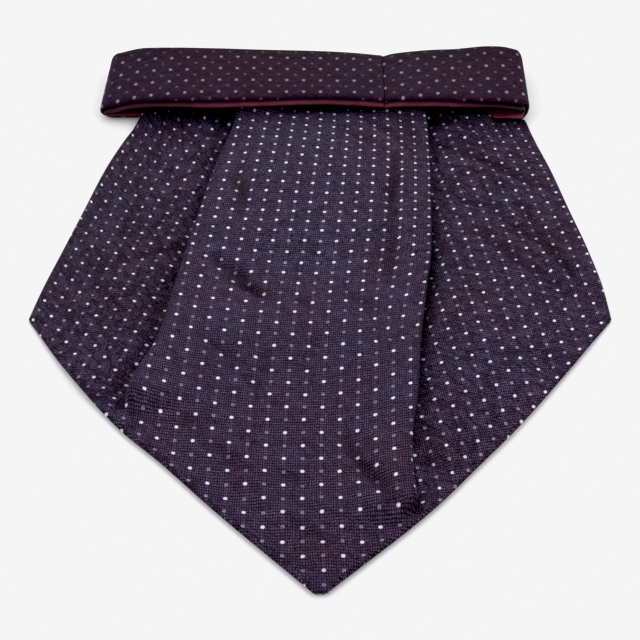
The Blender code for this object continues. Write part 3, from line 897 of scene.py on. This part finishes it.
def apron_row(at):
    """One row of the apron's points from its left edge to its right one, and where its two folds are."""
    middle_dots = middle_lattice(at)
    left_dots = lattice_row(LEFT_DOTS, LEFT_COLUMN, at)
    right_dots = lattice_row(RIGHT_DOTS, RIGHT_COLUMN, at)
    left = half_section(at, LEFT_PANEL, LEFT_PLEAT, 1, middle_dots, left_dots)
    right = half_section(at, RIGHT_PANEL, RIGHT_PLEAT, 2, middle_dots, right_dots)
    row = [(-p[0], p[1], -p[2], p[3], p[4], p[5]) for p in reversed(left)]
    return row + middle_points(at, left, right, middle_dots) + right, (-left[0][0], right[0][0])


def apron_rows():
    rows = FIRST_ROWS[:]
    while rows[-1] + APRON_STEP < APRON_TOP:
        rows.append(rows[-1] + APRON_STEP)
    corner = min(range(len(rows)), key=lambda k: abs(rows[k] - CORNER_AT))
    rows[corner] = CORNER_AT
    return rows + [APRON_TOP], corner


def build_apron(surfaces):
    rows, corner = apron_rows()
    face, back, lattice, panel, flank = [], [], [], [], []
    for at in rows:
        row, folds = apron_row(at)
        edges = edge_of_apron(at, 1), edge_of_apron(at, 2)
        beyond = max(0.0, at - TOP_EDGE_SLOPE_FROM) / (APRON_TOP - TOP_EDGE_SLOPE_FROM)
        face.append([(p[0], at + beyond * (read(TOP_EDGE, p[0], 1) - APRON_TOP), p[1]) for p in row])
        back.append([(p[2], at + beyond * (read(TOP_EDGE, p[2], 1) - APRON_TOP), p[3]) for p in row])
        lattice.append([p[4] for p in row])
        panel.append([p[5] for p in row])
        flank.append([[min(p[0] - ends[0], ends[1] - p[0]) for ends in (edges, folds)] for p in row])
    face, back, panel, flank = (np.array(grid) for grid in (face, back, panel, flank))
    brighter = MIDDLE_DIM * smooth((face[..., 1] - DIM_RISES_FROM) / DIM_RISES_OVER)
    brighter = np.where(abs(panel) == RIGHT_PANEL, SIDE_DIM, brighter)
    lattice = with_dim_dots(np.array(lattice), brighter)
    troughs = crease_apron(face, back, lattice, panel, flank)
    # Patches of painted sheen, and more burgundy in the creases' troughs as painted shade
    blush = blushes(SHEEN_BLUSHES, face[..., 0], face[..., 1]) + TROUGH_SHADE_BLUSH * troughs
    keep = np.ones((len(rows) - 1, face.shape[1] - 1), bool)
    keep[corner:, :] = face[corner, 1:, 0] < TONGUE_EDGE
    cloth = apron_cloth(face, panel, flank, troughs)
    return wall("apron_silk", face, back, lattice, blush, cloth, surfaces, keep)


def by_panel(panel, left, middle, right):
    return np.where(panel == LEFT_PANEL, left, np.where(panel == RIGHT_PANEL, right, middle))


def apron_cloth(face, panel, flank, troughs):
    """The apron's values for the point attribute "cloth"."""
    x, at = face[..., 0], face[..., 1]
    on_side = abs(panel) == RIGHT_PANEL
    # Painted light and shade: lighter or darker by panel and along the apron, and a painted shadow beside the
    # neckband
    tone = by_panel(panel, *columns_at(PAINTED_TONES, at))
    # Painted shade in the grooves beside the folds
    width, on_left, on_right = columns_at(GROOVE_SHADES, at)
    groove_shade = (1 - by_panel(panel, on_left, 1.0, on_right)) * smooth(1 + flank[..., 1] / width)
    tone = np.where(on_side, tone * (1 - groove_shade), tone)
    # Painted shade where the cloth turns under, in the creases' troughs and at the fold's edge
    starts = np.where(x < 0, LEFT_PLEAT["starts"], RIGHT_PLEAT["starts"])
    turned = (panel == TURNED_UNDER) & (at > starts + TURNED_SHADE_FROM)
    tone = np.where(turned, tone * TURNED_SHADE, tone) * (1 - (1 - TROUGH_SHADE) * troughs)
    tone = np.where(panel == FOLD_EDGE, tone * EDGE_SHADE, tone)
    faulted = np.where(turned, TURNED, np.where(on_side, 0.0, 1.0))
    return np.stack([faulted, tone, by_panel(panel, *CRINKLED)], axis=2)


def with_dim_dots(lattice, brightness):
    """The lattice with its third value: how near the dim dots come to white."""
    return np.concatenate([lattice, brightness[..., None]], axis=2)


def crease_apron(face, back, lattice, panel, flank):
    """Adds creases, puckers and round edges to the apron. Returns how deep each point lies in a crease."""
    x, at = face[..., 0], face[..., 1]
    to_hem = np.minimum(flank[..., 0], at) * math.sqrt(0.5)
    calm = smooth((CREASES_END - at) / CREASES_FADE + 0.5) * smooth(to_hem / HEM_CALM)
    small = np.array([[pucker(u, v) for u, v, _ in row] for row in lattice])
    troughs = np.zeros_like(x)
    into_side = smooth(-flank[..., 1] / FOLD_CALM - FOLD_STILL)
    into_middle = FOLD_CREASED + (1 - FOLD_CREASED) * smooth(flank[..., 1] / FOLD_CALM)
    for where, creases, column, near_fold in (
        (LEFT_PANEL, LEFT_CREASES, 1, into_side),
        (MIDDLE_PANEL, MIDDLE_CREASES, 2, into_middle),
        (RIGHT_PANEL, RIGHT_CREASES, 3, into_side),
    ):
        chosen = panel == where
        size = np.array([read(PUCKERS, a, column) for a in at[:, 0]])[:, None]
        creased = crease_height(creases, x, at)
        troughs += np.where(chosen, np.clip(-TROUGH_GAIN * creased * calm * near_fold, 0, 1), 0)
        added = (creased * CREASED + small * size * PUCKERED) * calm * near_fold
        if where == MIDDLE_PANEL:
            face[..., 2] += np.where(chosen, added, 0)
            back[..., 2] = np.where(chosen, np.maximum(back[..., 2] + added, 0), back[..., 2])
            least = back[..., 2] + LEAST_WALL
            face[..., 2] = np.where(chosen, np.maximum(face[..., 2], least), face[..., 2])
        else:
            face[..., 2] += np.where(chosen, np.maximum(added, DEEPEST), 0)
    round_hem(face, back, panel, to_hem)
    return troughs


def round_hem(face, back, panel, to_hem):
    """Makes the apron's edges round. The lower ones curl up a little."""
    ends = smooth((HEM[-1][0] - face[..., 1]) / HEM_LIFT_ENDS)
    lift = HEM_LIFT * smooth(1 - to_hem / HEM_LIFT_WIDTH) * ends
    face[..., 2] += lift
    back[..., 2] += lift
    rounded = np.sqrt(1 - (1 - np.clip(to_hem / HEM_ROUND, 0, 1)) ** 2)
    thick = face[..., 2] - back[..., 2]
    on_panel = (panel == LEFT_PANEL) | (panel == MIDDLE_PANEL) | (panel == RIGHT_PANEL)
    rolled = np.where(on_panel & (to_hem < CLOTH), thick * (1 - rounded), 0)
    face[..., 2] -= ROLLS_DOWN * rolled
    back[..., 2] += ROLLS_UP * rolled


def blushes(table, x, at):
    total = np.zeros_like(x)
    for x0, at0, size, strength in table:
        total += strength * np.exp(-((x - x0) ** 2 + (at - at0) ** 2) / size**2)
    return total


def seam_of(end):
    return JOIN + VISIBLE_GAP if end > 0 else JOIN


def band_stations(table, end, reach):
    """The way round one end of the loop, as (place across, how far turned over, way walked)."""
    side = 1 if end > 0 else -1
    seam = seam_of(end)
    count = round(abs(end - seam) / BAND_STEP)
    stations = []
    for k in [*NEAR_SEAM, *range(1, count + 1)]:
        x = seam + (end - seam) * k / count
        stations.append((x, 0.0, x))
    height = read(table, end, 3)
    half_turn = math.pi * math.sqrt((reach[0] ** 2 + (height / 2) ** 2) / 2)
    for k in range(1, END_CELLS):
        t = k / END_CELLS
        stations.append((end, math.pi * t, end + side * half_turn * t))
    low = end + side * half_turn
    count = round(abs(end - seam) / LOWER_STEP)
    for k in [*range(count), count - 0.1, count]:
        x = end + (seam - end) * k / count
        stations.append((x, math.pi, low + (end - x)))
    return stations


def band_place(table, station, turn, share, inside_near, depth, relief):
    """A point of the loop at a depth below its outer face: a share of its width in, or a distance in."""
    x, turned, _ = station
    reach, tuck = turn
    upper = (1 + math.cos(turned)) / 2
    near = upper * read(table, x, 1) + (1 - upper) * read(LOWER, x, 1) + tuck * math.sin(turned)
    far = upper * read(table, x, 2) + (1 - upper) * read(LOWER, x, 2)
    width = far - near
    inside = width * share if inside_near is None else inside_near
    rise = min(1.0, max(0.0, inside / width))
    top = read(table, x, 3) + (read(table, x, 4) - read(table, x, 3)) * rise
    top -= read(NEAR_CURL, inside, 1) + read(FAR_CURL, width - inside, 1)
    top += relief * upper
    half = top / 2
    z = half + (half - depth) * math.cos(turned)
    out = reach[0] + (reach[1] - reach[0]) * inside / width - depth
    return (x + math.copysign(out, x) * math.sin(turned), near + inside, z)


def band_lattice(dots, way, at):
    start, count, row, along, across, turn, bow = dots
    beyond = way - start
    count = count + beyond / along
    row = row + (at - BAND_ROWS_FROM) / across + turn * beyond + bow * beyond**2
    return count + row, count - row


def silk_ribs():
    """Across the neckband: (share of the width, None, depth of the face, depth of the back)."""
    ribs = []
    last = ROUND_EDGE[-1]
    inner = [last + (1 - 2 * last) * k / BAND_CELLS for k in range(1, BAND_CELLS)]
    for share in [*ROUND_EDGE, *inner, *(1 - s for s in reversed(ROUND_EDGE))]:
        from_edge = min(share, 1 - share) / ROUND_EDGE[-2]
        flat = math.sqrt(1 - (1 - min(1.0, from_edge)) ** 2)
        ribs.append((share, None, BAND_ROUND * (1 - flat), CLOTH - BAND_ROUND * (1 - flat)))
    return ribs


def lining_ribs():
    """As silk_ribs(), across the lining: a round bead proud of the near edge, then the plain inside."""
    ribs = []
    for k in range(BEAD_CELLS + 1):
        t = k / BEAD_CELLS
        out = LINING_PROUD * (1 - math.sin(t * math.pi / 2))
        half = max(BEAD_TIP, BEAD * math.sin(math.acos(out / LINING_PROUD)))
        ribs.append((None, -out, LINING_OUT + BEAD - half, LINING_OUT + BEAD + half))
    for inside, depth in BEAD_THINS:
        ribs.append((None, inside, LINING_OUT, depth))
    first, last = LINING_SHARES
    for k in range(1, LINING_CELLS + 1):
        share = first + (last - first) * k / LINING_CELLS
        ribs.append((share, None, LINING_OUT, LINING_IN))
    return ribs


def rib_depths(rib, upper):
    """A rib's depths below the loop's outer face. The lining's bead is flat but on the upper layer."""
    _, inside, outer, inner = rib
    if inside is None:
        return outer, inner
    if inside > 0:
        return outer, inner * upper + LINING_IN * (1 - upper)
    half = (inner - outer) / 2 * (upper + (1 - upper) * CLOTH / (2 * BEAD))
    middle = (inner + outer) / 2 * upper + (LINING_OUT + CLOTH / 2) * (1 - upper)
    return middle - half, middle + half


def walked_across(row):
    """For each point of a row across the neckband, how far along it lies by the cloth's own length."""
    middle = len(row) // 2
    walked = [row[middle][1]] * len(row)
    for k in range(middle + 1, len(row)):
        walked[k] = walked[k - 1] + math.dist(row[k], row[k - 1])
    for k in reversed(range(middle)):
        walked[k] = walked[k + 1] - math.dist(row[k], row[k + 1])
    return walked


def band_tones(face, turned, satin):
    """How light the neckband's silk or its satin lining is, as painted light, shine and shade."""
    x, at = face[..., 0], face[..., 1]
    if not satin:
        starts, over, darker = BAND_FAR_SHADE
        return BAND_TONE * (1 - darker * smooth((at - starts) / over))
    on_left = smooth((x - PAINTED_SHINE_LEFT[0]) / PAINTED_SHINE_LEFT[1])
    on_right = smooth((PAINTED_SHINE_RIGHT[0] - x) / PAINTED_SHINE_RIGHT[1])
    shaded_end = np.where(x > JOIN, SHADED_ENDS[1], SHADED_ENDS[0])
    shown = shaded_end + (PAINTED_SHINE - shaded_end) * on_left * on_right
    inside = smooth((turned - INSIDE_LIGHT_FROM) / TURN_PAINT_OVER) * np.where(x > 0, INSIDE_LIGHT[1], INSIDE_LIGHT[0])
    return shown * (1 - TURN_SHADE * smooth(turned / TURN_PAINT_OVER)) + inside


def build_band(name, table, dots, end, turn, ribs, surfaces):
    stations = band_stations(table, end, turn[0])
    face, back, lattice = [], [], []
    for station in stations:
        x, turned, way = station
        upper = (1 + math.cos(turned)) / 2
        seam_side = min(1.0, abs(x - seam_of(end)) / SEAM_ROUND)
        squeeze = SEAM_SQUEEZE * (1 - math.sqrt(1 - (1 - seam_side) ** 2))
        face_row, back_row = [], []
        for rib in ribs:
            share, inside = rib[:2]
            outer, inner = rib_depths(rib, upper)
            squeezed = (inner - outer) * squeeze
            relief = 0.0
            if turned == 0.0:
                spot = band_place(table, station, turn, share, inside, 0.0, 0.0)
                relief = float(crease_height(BAND_CREASES, np.array([spot[0]]), np.array([spot[1]]))[0])
            face_row.append(band_place(table, station, turn, share, inside, outer + squeezed, relief))
            back_row.append(band_place(table, station, turn, share, inside, inner - squeezed, relief))
        face.append(face_row)
        back.append(back_row)
        lattice.append([band_lattice(dots, way, at) for at in walked_across(face_row)])
    face, back = np.array(face), np.array(back)
    lattice = with_dim_dots(np.array(lattice), np.full(face.shape[:2], BAND_DIM))
    if end > 0:
        face, back, lattice = face[:, ::-1], back[:, ::-1], lattice[:, ::-1]
    # The neckband's own share of burgundy, and a patch of painted sheen
    blush = BAND_BLUSH + blushes(BAND_SHEEN_BLUSHES, face[..., 0], face[..., 1])
    turned = np.array([station[1] for station in stations])[:, None] + np.zeros(face.shape[:2])
    tone = band_tones(face, turned, len(surfaces) == 1)
    cloth = np.stack([0 * tone, tone, BAND_CRINKLED + 0 * tone], axis=2)
    return wall(name, face, back, lattice, blush, cloth, surfaces)


def add_table():
    bpy.ops.mesh.primitive_plane_add(size=TABLE_SIZE, location=TABLE_AT)
    floor = bpy.context.object
    floor.name = "table"
    made, shader = material("white_table", TABLE, TABLE_TOP)
    n = Nodes(made)
    soft = n.noise(n.make("TexCoord", {}, "Object"), 2.0)
    n.put(shader.inputs["Base Color"], n.mix(soft, TABLE, TABLE_SHADE))
    floor.data.materials.append(made)


def add_lights():
    world = bpy.data.worlds.new("studio")
    bpy.context.scene.world = world
    world.use_nodes = True
    world.node_tree.nodes["Background"].inputs["Color"].default_value = DOME_COLOUR
    world.node_tree.nodes["Background"].inputs["Strength"].default_value = DOME
    for name, azimuth, from_overhead, strength in WINDOWS:
        data = bpy.data.lights.new(name, "SUN")
        data.energy = strength
        data.angle = math.radians(WINDOW_WIDTH)
        turned = (math.radians(-from_overhead), 0.0, math.radians(azimuth))
        add_object(name, data).rotation_euler = turned


def set_film():
    """A plain film response: blacks a little deeper than the light, whites that roll off below the top."""
    view = bpy.context.scene.view_settings
    view.view_transform = "Standard"
    view.use_curve_mapping = True
    film = view.curve_mapping
    film.black_level = (FILM_BLACK, FILM_BLACK, FILM_BLACK)
    film.extend = "HORIZONTAL"
    points = film.curves[3].points
    points[0].location = (0.0, 0.0)
    points[1].location = FILM_TOP
    for x, y in FILM_CURVE:
        points.new(x, y)
    film.update()


def add_camera():
    data = bpy.data.cameras.new("camera")
    data.sensor_width = SENSOR
    data.lens = CAMERA_LENS
    camera = add_object("camera", data)
    camera.location = CAMERA_AT
    camera.rotation_euler = (math.radians(CAMERA_TILT), 0.0, 0.0)
    bpy.context.scene.camera = camera


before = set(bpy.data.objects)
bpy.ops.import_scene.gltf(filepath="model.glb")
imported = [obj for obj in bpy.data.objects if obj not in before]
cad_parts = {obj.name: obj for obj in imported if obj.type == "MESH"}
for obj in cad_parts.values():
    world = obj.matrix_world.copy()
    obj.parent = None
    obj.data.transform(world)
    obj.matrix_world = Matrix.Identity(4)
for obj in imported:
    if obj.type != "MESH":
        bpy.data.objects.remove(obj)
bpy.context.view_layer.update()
set_film()

dotted = silk_material("dotted_silk", NAVY, BURGUNDY, (WHITE, DIM_WHITE))
plain = silk_material("silk_reverse", NAVY, BURGUNDY, None)
band_dotted = silk_material(
    "band_silk",
    BAND_NAVY,
    BAND_BURGUNDY,
    (BAND_DOT, BAND_DIM_DOT),
    radius=BAND_DOT_RADIUS,
    edge=BAND_DOT_EDGE,
    slubs=0.08,
    depth=0.9,
)
satin = satin_material("lining_satin")

apron = build_apron([dotted, plain])
pieces = [(apron, "apron", "dotted_silk")]
for side, table, dots, end, turn in (
    ("left", UPPER_LEFT, LEFT_BAND_DOTS, UPPER_LEFT[0][0], LEFT_TURN),
    ("right", UPPER_RIGHT, RIGHT_BAND_DOTS, UPPER_RIGHT[-1][0], RIGHT_TURN),
):
    silk = build_band(f"neckband_silk_{side}", table, dots, end, turn, silk_ribs(), [band_dotted, plain])
    lining = build_band(f"neckband_satin_{side}", table, dots, end, turn, lining_ribs(), [satin])
    pieces.append((silk, f"neckband_{side}", "band_silk"))
    pieces.append((lining, f"neckband_lining_{side}", "lining_satin"))

for piece, node, slot in pieces:
    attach(piece, "root")
    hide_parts(node)

add_table()
add_lights()
add_camera()
